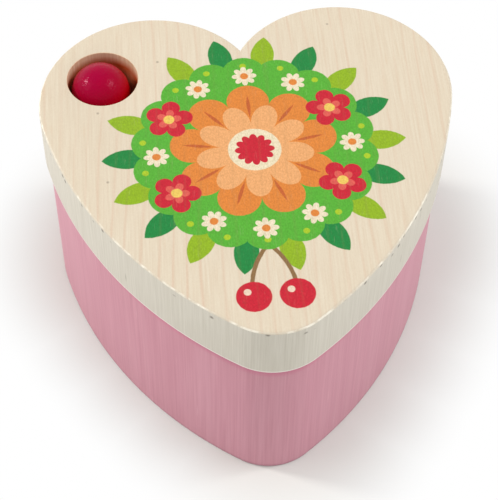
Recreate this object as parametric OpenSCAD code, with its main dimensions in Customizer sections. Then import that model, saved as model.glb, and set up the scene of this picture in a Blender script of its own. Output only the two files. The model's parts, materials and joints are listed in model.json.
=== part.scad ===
// Wind up music box: a heart-shaped wooden body with a twist lid.
// Turning the lid winds the spring of the musical movement that hangs under the body's top,
// and while the tune plays the lid turns slowly back. A ball near the rim is the finger grip.
// Millimetres. The origin is on the winding axis, in the plane that the box stands on.
// +Y points to the heart's notch, -Y to its tip.

/* [Heart outline] */
// Radius of the two upper lobes
lobe_r = 19; // [18.5:0.1:20]
// Distance of a lobe's centre from the middle line
lobe_x = 16; // [15:0.1:17]
// Distance of the tip's centre below the lobes' centres
tip_drop = 37.7; // [36:0.1:40]
// Radius of the rounded tip
tip_r = 10.7; // [9:0.1:12]
// Radius of the long curve of each side
side_r = 69; // [62:0.5:80]
// How far the lobes' centres lie behind the winding axis
lobe_y = 14.7; // [14:0.1:15.5]

/* [Lid] */
// Thickness of the lid
lid_t = 11.6; // [10.5:0.1:14]
// Gap between the lid and the body
lid_gap = 0.3; // [0.2:0.05:0.6]
// Rounding of the lid's edges
lid_round = 0.5; // [0.2:0.1:1]
// Diameter of the finger ball
ball_d = 10.1; // [9:0.1:10.8]
// Diameter of the recess that holds the ball
recess_d = 12; // [11.4:0.1:12.6]
// Depth of the recess
recess_depth = 8.4; // [7.5:0.1:9]
// Width of the wood between the recess and the lid's edge
recess_rim = 3.1; // [2.8:0.1:4.4]
// Direction of the recess from the left lobe's centre, in degrees
recess_angle = 144; // [130:1:150]

/* [Body] */
// Height of the body
body_h = 31.6; // [31:0.1:40]
// How far the body stands back from the lid's edge
body_inset = 0.7; // [0:0.1:1]
// Rounding of the body's edges
body_round = 0.6; // [0.2:0.1:1]
// Thickness of the side wall
wall = 4.8; // [4.2:0.1:5]
// Thickness of the top wall, which carries the movement
top_wall = 5; // [4.5:0.1:6]
// Thickness of the plywood base cover
cover_t = 2.5; // [2:0.1:3.5]
// Width of the wall left outside the base cover
rim_w = 1.8; // [1.5:0.1:2]

/* [Movement] */
// Turn of the movement about the winding axis, in degrees
movement_turn = 45; // [43:0.5:47]
// Thickness of the bedplate
bed_t = 1.8; // [1.5:0.1:2.2]
// Diameter of the winding arbor
arbor_d = 3; // [2.6:0.1:3.2]
// Radius of the spring housing
housing_r = 8.4; // [8:0.1:8.5]
// Height of the spring housing
housing_h = 10.2; // [8:0.1:12]
// Thickness of the mainspring's strip
spring_t = 0.25; // [0.2:0.05:0.35]
// Turns of the mainspring
spring_turns = 8; // [5:1:9]

/* [Tune cylinder and comb] */
// Radius of the tune cylinder
cylinder_r = 5; // [4.6:0.1:5.1]
// Height of the pins on the cylinder
pin_h = 0.5; // [0.3:0.05:0.5]
// Number of teeth on the comb
notes = 18; // [12:1:18]
// Distance between two comb teeth
note_pitch = 0.85; // [0.7:0.01:0.86]
// Length of the lowest tooth
bass_len = 6; // [5:0.1:6.2]
// Length of the highest tooth
treble_len = 3.4; // [2.8:0.1:4]

/* [Hidden] */
$fn = 64;

fit_gap = 0.04;   // running clearance of a shaft in its bore, on the radius
run_gap = 0.3;    // clearance between pieces that turn past each other
cut = 1;          // how far a cutter runs past the face that it cuts
far = 40;         // longer than any part of the outline

// Heart outline: the side curve's centre lies on the far side, where it touches lobe and tip
lobe_c = [lobe_x, lobe_y];
tip_c = [0, lobe_y - tip_drop];
lobe_reach = side_r - lobe_r;
tip_reach = side_r - tip_r;
centre_dist = norm(tip_c - lobe_c);
along = (pow(lobe_reach, 2) - pow(tip_reach, 2) + pow(centre_dist, 2)) / (2 * centre_dist);
across = sqrt(pow(lobe_reach, 2) - pow(along, 2));
to_tip = (tip_c - lobe_c) / centre_dist;
side_c = lobe_c + to_tip * along + [to_tip.y, -to_tip.x] * across;
lobe_out = (lobe_c - side_c) / lobe_reach;
tip_out = (tip_c - side_c) / tip_reach;
notch_y = lobe_y + sqrt(pow(lobe_r, 2) - pow(lobe_x, 2));
overlap = 4;
// How far the long sides stand proud of the rounds that they meet
side_proud = 0.01;
round_facets = 180;
side_facets = 360;
notch_half = 5;

// Heights in the box
lid_z = body_h + lid_gap;
ceiling_z = body_h - top_wall;
pocket_inset = body_inset + wall;
cover_inset = body_inset + rim_w;
cover_gap = 0.15;
cover_lift = 0.3;

// Lid fittings
arbor_r = arbor_d / 2;
arbor_hole_r = arbor_r + 1;
hub_r = 8;
hub_t = 1.2;
hub_neck_r = 3.5;
hub_neck_h = 6;
hub_screw_ring = 5.8;
recess_from_lobe = lobe_r - recess_rim - recess_d / 2;
recess_x = -lobe_x + recess_from_lobe * cos(recess_angle);
recess_y = lobe_y + recess_from_lobe * sin(recess_angle);
ball_x = recess_x - (recess_d - ball_d) / 4;
ball_lift = 0.1;
ball_z = lid_z + lid_t - recess_depth + ball_d / 2 + ball_lift;
ball_screw_r = 0.9;
ball_head_r = 2.1;
ball_hole_r = ball_screw_r + 0.15;
ball_screw_depth = 5;
ball_screw_sink = 0.2;
hub_screw_len = 6;

// Screws: shank radius, head radius, head height
wood_shank_r = 0.8;
wood_head_r = 1.6;
wood_head_h = 1;
small_shank_r = 0.6;
small_head_r = 1.15;
small_head_h = 0.7;
slot_w = 0.35;
slot_depth = 0.35;
wood_screw_len = 5.5;
cover_screw_len = 8;
cover_screw_edge = 0.2;
cover_screw_inset = cover_inset + cover_gap + wood_head_r + cover_screw_edge;

// Stack of pieces on the winding arbor, counted from the bedplate's wood face
boss_r = 3;
boss_h = 0.35;
stack_gap = 0.05;
wheel_z = bed_t + boss_h + stack_gap;
wheel_t = 1.2;
wheel_rim = 0.1;
wheel_hub_r = 2.2;
wheel_hub_h = 1;
collar_z = wheel_z + wheel_t + wheel_hub_h + stack_gap;
collar_h = 1.15;
housing_z = collar_z + collar_h + 0.8;
housing_wall = 0.5;
housing_cover_t = 0.5;
bottom_bush_r = 2.4;
pivot_r = 0.8;
pivot_len = 1.2;
core_r = 2;
spring_room = 0.25;
spring_z = housing_z + housing_cover_t + run_gap;
spring_h = housing_h - housing_cover_t - housing_wall - 2 * run_gap;
post_angles = [60, 180, 300];
post_ring = 12.2;
post_r = 1.7;
ear_half_w = post_r - 0.08;
ear_root = housing_r - housing_wall / 2;
ear_t = 1;
ear_screw_grip = 2;
ear_screw_hole = 3;
bush_h = 1.4;

// Toothed wheels: teeth, module, and play taken off each tooth's width
pressure_angle = 20;
crown_teeth = 45;
drive_teeth = 18;
crown_r = 9.3;
drive_module = 2 * crown_r / crown_teeth;
crown_face = 1.1;
drive_play = 0.16;
drive_r = drive_module * drive_teeth / 2;
gear_module = 0.25;
gear_teeth = 52;
small_teeth = 12;
worm_teeth = 16;
gear_play = 0.08;
gear_r = gear_module * gear_teeth / 2;
small_r = gear_module * small_teeth / 2;
worm_wheel_r = gear_module * worm_teeth / 2;
addendum = 1;
dedendum = 1.25;
crown_base_z = wheel_z + wheel_t;
axis_z = crown_base_z + dedendum * drive_module + drive_r;

// Places along the cylinder's axis, from the winding axis outwards
drive_t = 1;
drive_x = crown_r - drive_t / 2;
pillar_x = 10.5;
pillar_t = 1.5;
pillar_r = 1.6;
cylinder_x = pillar_x + pillar_t + 0.4;
end_margin = 0.6;
cylinder_len = (notes - 1) * note_pitch + 2 * end_margin;
cylinder_wall = 0.6;
cap_t = 0.8;
gear_t = 0.8;
gear_x = cylinder_x + cylinder_len + 0.4;
bracket_x = gear_x + gear_t + 0.4;
bracket_t = 1;
bracket_eye_r = 2;
bracket_top_r = 1.6;
bracket_foot_w = 4.4;
bracket_flare = 1;
shaft_r = 0.6;
shaft_start = drive_x - 0.1;
shaft_end = bracket_x + bracket_t + 0.1;
pin_r = 0.16;
pins_per_note = 7;
gear_slot_gap = 0.5;

// Comb
tip_gap = 0.12;
tip_y = cylinder_r + pin_h + tip_gap;
comb_t = 1.2;
tooth_t = 0.4;
tooth_w = 0.6;
tooth_tip_w = 0.35;
tooth_tip_len = 0.9;
comb_depth = 2.6;
comb_back_y = tip_y + bass_len + comb_depth;
comb_x = cylinder_x + end_margin - note_pitch / 2;
comb_len = notes * note_pitch;
seat_z = axis_z - comb_t + tooth_t / 2;
comb_corner = 3;
comb_screw_x = [comb_x + 4.2, comb_x + comb_len - 4];
comb_screw_y = comb_back_y - 1.5;
comb_screw_grip = 3;
comb_screw_hole = 3.5;
comb_boss_r = 1.5;
comb_seat_in = 0.8;
comb_seat_w = 1.4;
comb_root = 0.3;
weighted_notes = 6;
weight_w = 0.5;
weight_len = 1.8;
weight_h = 1.1;

// Intermediate shaft and governor
lift_angle = 130;
mesh_dist = gear_r + small_r;
inter_y = mesh_dist * cos(lift_angle);
inter_z = axis_z + mesh_dist * sin(lift_angle);
worm_r = 0.8;
worm_pitch = PI * gear_module;
worm_y = inter_y - worm_wheel_r - worm_r;
worm_x = 24.2;
worm_wheel_t = 0.9;
worm_len = 4.8;
worm_z = inter_z - worm_len / 2;
worm_pivot_r = 0.3;
frame_x = 19.4;
frame_t = 1.2;
frame_eye_r = 1.3;
frame_foot_x = 1.6;
arm_t = 0.8;
arm_r = 1.1;
pivot_end = 0.1;
worm_clear = 0.9;
low_arm_z = worm_z - worm_clear - arm_t;
governor_rise = 7.2;
base_room = 1.2;
top_arm_z = min(inter_z + governor_rise, ceiling_z - cover_lift - cover_t - base_room - arm_t);
frame_back = 1.6;
frame_front = 1.5;
frame_back_y = worm_y - frame_back;
frame_front_y = worm_y + frame_front;
fan_r = 3;
fan_blade_h = 3;
fan_blade_t = 0.4;
fan_gap = 0.5;
fan_h = min(fan_blade_h, top_arm_z - worm_z - worm_len - 2 * fan_gap);
fan_z = top_arm_z - fan_h - fan_gap;
fan_hub_r = 0.9;
governor_shaft_r = 0.5;

// Bedplate's outline and its screws
bed_margin = 0.1;
bed_room = 0.25;
bed_tongue = 2.6;
bed_shoulder_y = 6;
bed_front = 1;
bed_back = 0.2;
foot_t = 1.2;
foot_margin = 1.5;
foot_screw_end = 0.2;
foot_len = 1.7;
bed_front_y = frame_back_y - bed_front;
bed_back_y = comb_back_y + bed_back;
bed_end_x = bracket_x + bracket_t + foot_len + foot_margin;
lug_ring = 14.2;
lug_r = 2.4;
lug_angles = [120, 240];
lug_in = 3;
lug_y = -9.2;
end_lug = [bracket_x - lug_in, lug_y];
frame_foot_len = 2;
frame_screw_y = 0.4;
frame_screw = [frame_x - frame_foot_len, worm_y + frame_screw_y];
bracket_screw_y = -1.2;
bracket_screw = [bracket_x + bracket_t + foot_len, bracket_screw_y];

// ---- Shared shapes ----

// Round bar with its upper and lower corners rounded, as a profile for a revolve
module round_profile(r, h, edge_top, edge_low) {
    difference() {
        square([r, h]);
        if (edge_top > 0) corner_cutter(r - edge_top, h - edge_top, edge_top, 1);
        if (edge_low > 0) corner_cutter(r - edge_low, edge_low, edge_low, -1);
    }
}

module corner_cutter(x, y, edge, up) {
    translate([x, y]) scale([1, up]) difference() {
        square(edge + cut);
        circle(edge);
    }
}

module rounded_disc(centre, r, h, edge_top, edge_low, facets) {
    translate(centre) rotate_extrude($fn = facets) round_profile(r, h, edge_top, edge_low);
}

// Prism over a polygon, taller than what it cuts
module clip(points, h) {
    translate([0, 0, -cut]) linear_extrude(h + 2 * cut) polygon(points);
}

// The heart is made of two round lobes, two sides and a round tip. A side is cut off on the
// lines on which it meets its lobe and the tip, and the rounds run on whole inside the sides.
side_share = [[-overlap, lobe_y], lobe_c, lobe_c + far * lobe_out, tip_c + far * tip_out, tip_c,
    [-overlap, tip_c.y]];

// Heart-shaped block with rounded edges
module heart_block(inset, h, edge_top, edge_low) {
    for (s = [1, -1]) scale([s, 1, 1]) {
        rounded_disc(lobe_c, lobe_r - inset, h, edge_top, edge_low, round_facets);
        intersection() {
            rounded_disc(side_c, side_r + side_proud - inset, h, edge_top, edge_low, side_facets);
            clip(side_share, h);
        }
    }
    rounded_disc(tip_c, tip_r - inset, h, edge_top, edge_low, round_facets);
}

// Heart outline set in by an even distance, with the bottom of its notch cut straight across
module heart_outline(inset) {
    for (s = [1, -1]) scale([s, 1]) {
        translate(lobe_c) circle(lobe_r - inset, $fn = round_facets);
        intersection() {
            translate(side_c) circle(side_r + side_proud - inset, $fn = side_facets);
            polygon(side_share);
        }
    }
    translate(tip_c) circle(tip_r - inset, $fn = round_facets);
    translate([-notch_half, lobe_y - overlap]) square([2 * notch_half, notch_y - inset - lobe_y + overlap]);
}

// Slotted screw with its axis upright: z = 0 is under the head, the shank points down
module screw(shank_r, head_r, head_h, length, countersunk) {
    difference() {
        union() {
            translate([0, 0, -length]) cylinder(r = shank_r, h = length);
            if (countersunk) translate([0, 0, -head_h]) cylinder(r1 = shank_r, r2 = head_r, h = head_h);
            else cylinder(r = head_r, h = head_h);
        }
        translate([-head_r - cut, -slot_w / 2, (countersunk ? 0 : head_h) - slot_depth])
            cube([2 * (head_r + cut), slot_w, slot_depth + cut]);
    }
}

// The movement's own frame: z = 0 is the bedplate's wood face and +z points down into the box
module movement() {
    translate([0, 0, ceiling_z]) rotate([0, 0, movement_turn]) rotate([180, 0, 0]) children();
}

// A flat shape that is set across a shaft along x: its x becomes y and its y becomes z
module across_shaft(x, y, z, t) {
    translate([x, y, z]) rotate([90, 0, 90]) linear_extrude(t) children();
}

module shaft_x(x0, x1, y, z, r) {
    translate([x0, y, z]) rotate([0, 90, 0]) cylinder(r = r, h = x1 - x0);
}

// Involute wheel with one tooth centred on the direction aim
function involute(a) = tan(a) * 180 / PI - a;
function flank(n, m, play, r) =
    90 / n - play / (m * n) * 180 / PI + involute(pressure_angle)
    - involute(acos(min(1, m * n / 2 * cos(pressure_angle) / r)));
module gear_outline(n, m, play, aim) {
    root = m * n / 2 - dedendum * m;
    tip = m * n / 2 + addendum * m;
    base = max(root, m * n / 2 * cos(pressure_angle));
    steps = 4;
    radii = [for (i = [0:steps]) base + (tip - base) * i / steps];
    gap = 180 / n;
    points = [for (k = [0:n - 1]) let (c = aim + k * 360 / n) each [
        root * [cos(c - gap), sin(c - gap)],
        root * [cos(c - flank(n, m, play, base)), sin(c - flank(n, m, play, base))],
        for (r = radii) r * [cos(c - flank(n, m, play, r)), sin(c - flank(n, m, play, r))],
        for (i = [steps:-1:0]) let (r = radii[i])
            r * [cos(c + flank(n, m, play, r)), sin(c + flank(n, m, play, r))],
        root * [cos(c + flank(n, m, play, base)), sin(c + flank(n, m, play, base))]
    ]];
    polygon(points);
}

// ---- Wooden case ----

module body_shell() {
    color([0.80, 0.58, 0.63]) difference() {
        heart_block(body_inset, body_h, body_round, body_round / 2);
        translate([0, 0, -cut]) linear_extrude(ceiling_z + cut) heart_outline(pocket_inset);
        translate([0, 0, -cut]) linear_extrude(cover_lift + cover_t + cut) heart_outline(cover_inset);
        movement() linear_extrude(ceiling_z - cover_lift - cover_t) bed_outline(bed_room);
        cylinder(r = arbor_hole_r, h = body_h + cut);
        movement() for (p = wood_screw_places())
            translate([p.x, p.y, -wood_screw_len + bed_t]) cylinder(r = wood_shank_r, h = wood_screw_len);
        for (p = cover_screw_places())
            translate([p.x, p.y, cover_lift]) cylinder(r = wood_shank_r, h = cover_screw_len);
    }
}

// Five screws of the base cover: at the tip, on the two sides and on the two lobes
function cover_screw_places() = let (w = cover_screw_inset) [
    [0, tip_c.y - tip_r + w],
    for (s = [1, -1]) [s * (side_c.x + (side_r - w) * cos(-33)), side_c.y + (side_r - w) * sin(-33)],
    for (s = [1, -1]) [s * (lobe_c.x + (lobe_r - w) * cos(62)), lobe_c.y + (lobe_r - w) * sin(62)]
];

module base_cover() {
    color([0.83, 0.72, 0.55]) difference() {
        translate([0, 0, cover_lift]) linear_extrude(cover_t) heart_outline(cover_inset + cover_gap);
        for (p = cover_screw_places()) translate([p.x, p.y, cover_lift]) {
            translate([0, 0, -cut]) cylinder(r = wood_shank_r, h = cover_t + 2 * cut);
            cylinder(r1 = wood_head_r, r2 = wood_shank_r, h = wood_head_h);
        }
    }
}

module base_screws() {
    color([0.72, 0.68, 0.55]) for (p = cover_screw_places())
        translate([p.x, p.y, cover_lift]) rotate([180, 0, 0])
            screw(wood_shank_r, wood_head_r, wood_head_h, cover_screw_len, true);
}

// ---- Lid, its hub and the finger ball ----

function hub_screw_places() = [for (a = [90, 210, 330]) hub_screw_ring * [cos(a), sin(a)]];

module lid() {
    color([0.91, 0.87, 0.78]) difference() {
        translate([0, 0, lid_z]) heart_block(0, lid_t, lid_round, lid_round);
        translate([recess_x, recess_y, lid_z + lid_t - recess_depth])
            cylinder(r = recess_d / 2, h = recess_depth + cut);
        translate([ball_x, recess_y, lid_z - cut]) cylinder(r = ball_hole_r, h = lid_t);
        translate([ball_x, recess_y, lid_z]) rotate_extrude() polygon([[0, -cut], [ball_head_r + fit_gap, -cut],
            [ball_head_r + fit_gap, ball_screw_sink], [ball_hole_r, ball_screw_sink + wood_head_h],
            [0, ball_screw_sink + wood_head_h]]);
        translate([0, 0, lid_z - cut]) cylinder(r = hub_r, h = hub_t + cut);
        translate([0, 0, lid_z - cut]) cylinder(r = hub_neck_r, h = hub_t + hub_neck_h + cut);
        for (p = hub_screw_places())
            translate([p.x, p.y, lid_z]) cylinder(r = wood_shank_r, h = hub_screw_len);
    }
}

module finger_ball() {
    color([0.78, 0.10, 0.16]) translate([ball_x, recess_y, ball_z]) difference() {
        sphere(r = ball_d / 2);
        translate([0, 0, -ball_d / 2 - cut]) cylinder(r = ball_screw_r, h = ball_screw_depth + cut);
    }
}

module ball_screw() {
    length = ball_z - ball_d / 2 + ball_screw_depth - lid_z - ball_screw_sink;
    color([0.72, 0.68, 0.55]) translate([ball_x, recess_y, lid_z + ball_screw_sink]) rotate([180, 0, 0])
        screw(ball_screw_r, ball_head_r, wood_head_h, length, true);
}

module lid_hub() {
    color([0.80, 0.66, 0.36]) translate([0, 0, lid_z]) difference() {
        union() {
            cylinder(r = hub_r, h = hub_t);
            cylinder(r = hub_neck_r, h = hub_t + hub_neck_h);
        }
        translate([0, 0, -cut]) cylinder(r = arbor_r, h = hub_t + hub_neck_h + 2 * cut);
        for (p = hub_screw_places()) translate([p.x, p.y, 0]) {
            translate([0, 0, -cut]) cylinder(r = wood_shank_r, h = hub_t + 2 * cut);
            cylinder(r1 = wood_head_r, r2 = wood_shank_r, h = wood_head_h);
        }
    }
}

module hub_screws() {
    color([0.75, 0.75, 0.74]) for (p = hub_screw_places())
        translate([p.x, p.y, lid_z]) rotate([180, 0, 0])
            screw(wood_shank_r, wood_head_r, wood_head_h, hub_screw_len, true);
}

// Steel arbor: it is screwed into the hub, carries the clutch collar and turns the spring's core
module winding_arbor() {
    top = top_wall + lid_gap + hub_t + hub_neck_h;
    bottom = housing_z + housing_h;
    color([0.70, 0.71, 0.73]) movement() {
        translate([0, 0, -top]) cylinder(r = arbor_r, h = top + housing_z + housing_cover_t);
        translate([0, 0, collar_z]) cylinder(r = wheel_hub_r, h = collar_h);
        translate([0, 0, housing_z + housing_cover_t / 2])
            cylinder(r = core_r, h = housing_h - housing_wall - housing_cover_t / 2 - stack_gap);
        translate([0, 0, bottom - housing_wall - stack_gap - cut]) cylinder(r = pivot_r, h = cut + pivot_len);
    }
}

// ---- Bedplate and spring ----

function wood_screw_places() = concat(
    [for (a = lug_angles) lug_ring * [cos(a), sin(a)]],
    [end_lug]
);

module bedplate() {
    color([0.66, 0.66, 0.67]) movement() difference() {
        union() {
            linear_extrude(bed_t) bed_outline(0);
            cylinder(r = boss_r, h = bed_t + boss_h);
            for (a = post_angles) rotate(a) translate([post_ring, 0, 0])
                cylinder(r = post_r, h = housing_z);
            across_shaft(pillar_x, 0, 0, pillar_t) {
                circle(pillar_r);
                translate([0, axis_z]) circle(pillar_r);
                translate([-pillar_r, 0]) square([2 * pillar_r, axis_z]);
            }
            translate([comb_x + comb_seat_in, comb_back_y - comb_depth - bed_back, 0])
                cube([comb_len - comb_seat_in - comb_corner / 2, comb_seat_w, seat_z]);
            for (x = comb_screw_x) translate([x, comb_screw_y, 0]) cylinder(r = comb_boss_r, h = seat_z);
        }
        translate([0, 0, -cut]) cylinder(r = arbor_r + fit_gap, h = bed_t + boss_h + 2 * cut);
        shaft_x(pillar_x - cut, pillar_x + pillar_t + cut, 0, axis_z, shaft_r + fit_gap);
        translate([pillar_x - cut, -pillar_r - cut, -far]) cube([pillar_t + 2 * cut, 2 * pillar_r + 2 * cut, far]);
        gear_slot();
        for (p = wood_screw_places())
            translate([p.x, p.y, -cut]) cylinder(r = wood_shank_r, h = bed_t + 2 * cut);
        for (a = post_angles) rotate(a) translate([post_ring, 0, housing_z - ear_screw_hole])
            cylinder(r = small_shank_r, h = ear_screw_hole + cut);
        for (x = comb_screw_x) translate([x, comb_screw_y, seat_z - comb_screw_hole])
            cylinder(r = small_shank_r, h = comb_screw_hole + cut);
        for (p = [frame_screw, bracket_screw])
            translate([p.x, p.y, -cut]) cylinder(r = small_shank_r, h = bed_t + 2 * cut);
    }
}

// Outline of the bedplate, made larger all round by a margin
module bed_outline(more) {
    circle(post_ring + post_r + bed_margin + more);
    for (a = lug_angles) rotate(a) translate([lug_ring, 0]) circle(lug_r + more);
    polygon([[0, bed_front_y - more], [end_lug.x + more / 2, bed_front_y - more],
        [bed_end_x + more, bracket_screw.y - bed_tongue - more / 2],
        [bed_end_x + more, bracket_screw.y + bed_tongue + more / 2],
        [bracket_x + bracket_t + more, bed_shoulder_y + more],
        [comb_x + comb_len + more, comb_back_y - comb_corner + more / 2],
        [comb_x + comb_len - comb_corner + more / 2, bed_back_y + more], [0, bed_back_y + more]]);
}

// Slot in the bedplate that clears the cylinder's large wheel
module gear_slot() {
    half = sqrt(pow(gear_r + gear_module + gear_slot_gap, 2) - pow(axis_z - bed_t, 2));
    translate([gear_x - gear_slot_gap / 2, -half, -cut]) cube([gear_t + gear_slot_gap, 2 * half, bed_t + 2 * cut]);
}

module bedplate_screws() {
    color([0.75, 0.75, 0.74]) movement() for (p = wood_screw_places())
        translate([p.x, p.y, bed_t]) screw(wood_shank_r, wood_head_r, wood_head_h, wood_screw_len, false);
}

module great_wheel() {
    tooth_base = PI * drive_module / 2 / 2 - drive_play / 2 + dedendum * drive_module * tan(pressure_angle);
    tooth_top = PI * drive_module / 2 / 2 - drive_play / 2 - addendum * drive_module * tan(pressure_angle);
    tooth_h = (dedendum + addendum) * drive_module;
    color([0.83, 0.71, 0.42]) movement() difference() {
        union() {
            translate([0, 0, wheel_z]) cylinder(r = crown_r + crown_face / 2 + wheel_rim, h = wheel_t);
            translate([0, 0, wheel_z]) cylinder(r = wheel_hub_r, h = wheel_t + wheel_hub_h);
            for (k = [0:crown_teeth - 1]) rotate(k * 360 / crown_teeth)
                across_shaft(crown_r - crown_face / 2, 0, crown_base_z, crown_face)
                    polygon([[-tooth_base, -wheel_t / 2], [-tooth_base, 0], [-tooth_top, tooth_h],
                        [tooth_top, tooth_h], [tooth_base, 0], [tooth_base, -wheel_t / 2]]);
            translate([peg_ring, 0, wheel_z]) cylinder(r = peg_r, h = wheel_t + wheel_hub_h);
        }
        translate([0, 0, wheel_z - cut]) cylinder(r = arbor_r + fit_gap, h = wheel_t + wheel_hub_h + 2 * cut);
    }
}

peg_ring = 4;
peg_r = 0.35;
clutch_wire_r = 0.17;
clutch_turns = 4;

// Close spring wrapped round the wheel's hub and the arbor's collar: it grips one way only
module clutch_spring() {
    coil_r = wheel_hub_r + fit_gap + clutch_wire_r;
    start_z = wheel_z + wheel_t + clutch_wire_r + 0.05;
    rise = (collar_z + collar_h - clutch_wire_r - start_z) / clutch_turns;
    steps = 20;
    sides = 8;
    tail = peg_ring - coil_r;
    centres = concat(
        [[coil_r, -tail, start_z, 0]],
        [for (i = [0:clutch_turns * steps]) let (a = i * 360 / steps)
            [coil_r * cos(a), coil_r * sin(a), start_z + rise * i / steps, a]]
    );
    points = [for (c = centres) for (j = [0:sides - 1]) let (b = (j + 0.5) * 360 / sides)
        [c[0] + clutch_wire_r * cos(b) * cos(c[3]), c[1] + clutch_wire_r * cos(b) * sin(c[3]),
            c[2] + clutch_wire_r * sin(b)]];
    last = len(centres) - 1;
    faces = concat(
        [[for (j = [sides - 1:-1:0]) j]],
        [[for (j = [0:sides - 1]) last * sides + j]],
        [for (i = [0:last - 1]) for (j = [0:sides - 1])
            [i * sides + j, i * sides + (j + 1) % sides, (i + 1) * sides + (j + 1) % sides, (i + 1) * sides + j]]
    );
    color([0.62, 0.63, 0.66]) movement() polyhedron(points, faces);
}

module spring_housing() {
    color([0.76, 0.76, 0.78]) movement() difference() {
        union() {
            translate([0, 0, housing_z]) cylinder(r = housing_r, h = housing_h);
            translate([0, 0, housing_z + housing_h - housing_wall]) cylinder(r = bottom_bush_r, h = bush_h);
            for (a = post_angles) rotate(a) translate([0, 0, housing_z]) linear_extrude(ear_t) {
                translate([post_ring, 0]) circle(post_r);
                translate([ear_root, -ear_half_w]) square([post_ring - ear_root, 2 * ear_half_w]);
            }
        }
        translate([0, 0, housing_z - cut])
            cylinder(r = housing_r - housing_wall, h = housing_h - housing_wall + cut);
        translate([0, 0, housing_z]) cylinder(r = pivot_r + fit_gap, h = housing_h + 2);
        for (a = post_angles) rotate(a) translate([post_ring, 0, housing_z - cut])
            cylinder(r = small_shank_r, h = ear_t + 2 * cut);
    }
}

module housing_cover() {
    color([0.70, 0.70, 0.72]) movement() translate([0, 0, housing_z]) difference() {
        cylinder(r = housing_r - housing_wall, h = housing_cover_t);
        translate([0, 0, -cut]) cylinder(r = core_r + run_gap, h = housing_cover_t + 2 * cut);
    }
}

module housing_screws() {
    color([0.75, 0.75, 0.74]) movement() for (a = post_angles) rotate(a)
        translate([post_ring, 0, housing_z + ear_t])
            screw(small_shank_r, small_head_r, small_head_h, ear_t + ear_screw_grip, false);
}

// Spiral strip between the arbor's core and the housing's wall
module mainspring() {
    inner = core_r + spring_room;
    outer = housing_r - housing_wall - spring_t - 0.05;
    steps = 24;
    count = spring_turns * steps;
    strip = [for (i = [0:count]) let (r = inner + (outer - inner) * i / count, a = i * 360 / steps)
        [r, a]];
    color([0.45, 0.47, 0.52]) movement() translate([0, 0, spring_z]) linear_extrude(spring_h)
        polygon(concat(
            [for (p = strip) p[0] * [cos(p[1]), sin(p[1])]],
            [for (i = [count:-1:0]) (strip[i][0] + spring_t) * [cos(strip[i][1]), sin(strip[i][1])]]
        ));
}

// ---- Tune cylinder ----

module cylinder_arbor() {
    color([0.70, 0.71, 0.73]) movement() shaft_x(shaft_start, shaft_end, 0, axis_z, shaft_r);
}

module drive_pinion() {
    color([0.83, 0.71, 0.42]) movement() across_shaft(drive_x, 0, axis_z, drive_t) difference() {
        gear_outline(drive_teeth, drive_module, drive_play, 0);
        circle(shaft_r);
    }
}

// Angles of one note's pins: even steps, shifted and thinned so that no two notes are alike
function pin_angles(i) = [for (k = [0:pins_per_note - 1])
    if ((i * 5 + k * 3) % 4 != 0) (k * 360 / pins_per_note + i * 137.5 + 9 * ((i * k) % 3)) % 360];

module tune_cylinder() {
    color([0.85, 0.70, 0.36]) movement() difference() {
        union() {
            shaft_x(cylinder_x, cylinder_x + cylinder_len, 0, axis_z, cylinder_r);
            for (i = [0:notes - 1]) for (a = pin_angles(i))
                translate([cylinder_x + end_margin + i * note_pitch, 0, axis_z]) rotate([a, 0, 0])
                    translate([0, 0, cylinder_r - cylinder_wall / 2])
                        cylinder(r = pin_r, h = cylinder_wall / 2 + pin_h);
        }
        shaft_x(cylinder_x - cut, cylinder_x + cylinder_len + cut, 0, axis_z, cylinder_r - cylinder_wall);
    }
}

module cylinder_caps() {
    color([0.80, 0.68, 0.40]) movement() for (x = [cylinder_x, cylinder_x + cylinder_len - cap_t])
        difference() {
            shaft_x(x, x + cap_t, 0, axis_z, cylinder_r - cylinder_wall);
            shaft_x(x - cut, x + cap_t + cut, 0, axis_z, shaft_r);
        }
}

module cylinder_gear() {
    color([0.83, 0.71, 0.42]) movement() across_shaft(gear_x, 0, axis_z, gear_t) difference() {
        gear_outline(gear_teeth, gear_module, gear_play, lift_angle);
        circle(shaft_r);
    }
}

// ---- Comb ----

function tooth_len(i) = bass_len + (treble_len - bass_len) * i / (notes - 1);
function tooth_x(i) = cylinder_x + end_margin + i * note_pitch;

module comb() {
    base_slope = (bass_len - treble_len) / (notes - 1) / note_pitch;
    base = [for (x = [comb_x, comb_x + comb_len])
        [x, tip_y + bass_len - (x - tooth_x(0)) * base_slope]];
    color([0.74, 0.75, 0.77]) movement() difference() {
        union() {
            translate([0, 0, seat_z]) linear_extrude(comb_t) polygon([base[0], base[1],
                [comb_x + comb_len, comb_back_y - comb_corner],
                [comb_x + comb_len - comb_corner, comb_back_y], [comb_x, comb_back_y]]);
            translate([0, 0, axis_z - tooth_t / 2]) linear_extrude(tooth_t)
                for (i = [0:notes - 1]) translate([tooth_x(i), tip_y]) {
                    translate([-tooth_w / 2, tooth_tip_len])
                        square([tooth_w, tooth_len(i) - tooth_tip_len + comb_root]);
                    translate([-tooth_tip_w / 2, 0]) square([tooth_tip_w, tooth_tip_len + 0.1]);
                }
        }
        for (x = comb_screw_x) translate([x, comb_screw_y, seat_z - cut])
            cylinder(r = small_shank_r, h = comb_t + 2 * cut);
    }
}

// Lead weights under the lowest teeth, which slow them down
module comb_weights() {
    color([0.42, 0.43, 0.46]) movement() for (i = [0:weighted_notes - 1])
        let (size = 1 - i / (2 * weighted_notes))
            translate([tooth_x(i) - weight_w / 2, tip_y + tooth_tip_len, axis_z - tooth_t / 2 - weight_h * size])
                cube([weight_w, weight_len * size, weight_h * size]);
}

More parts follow.
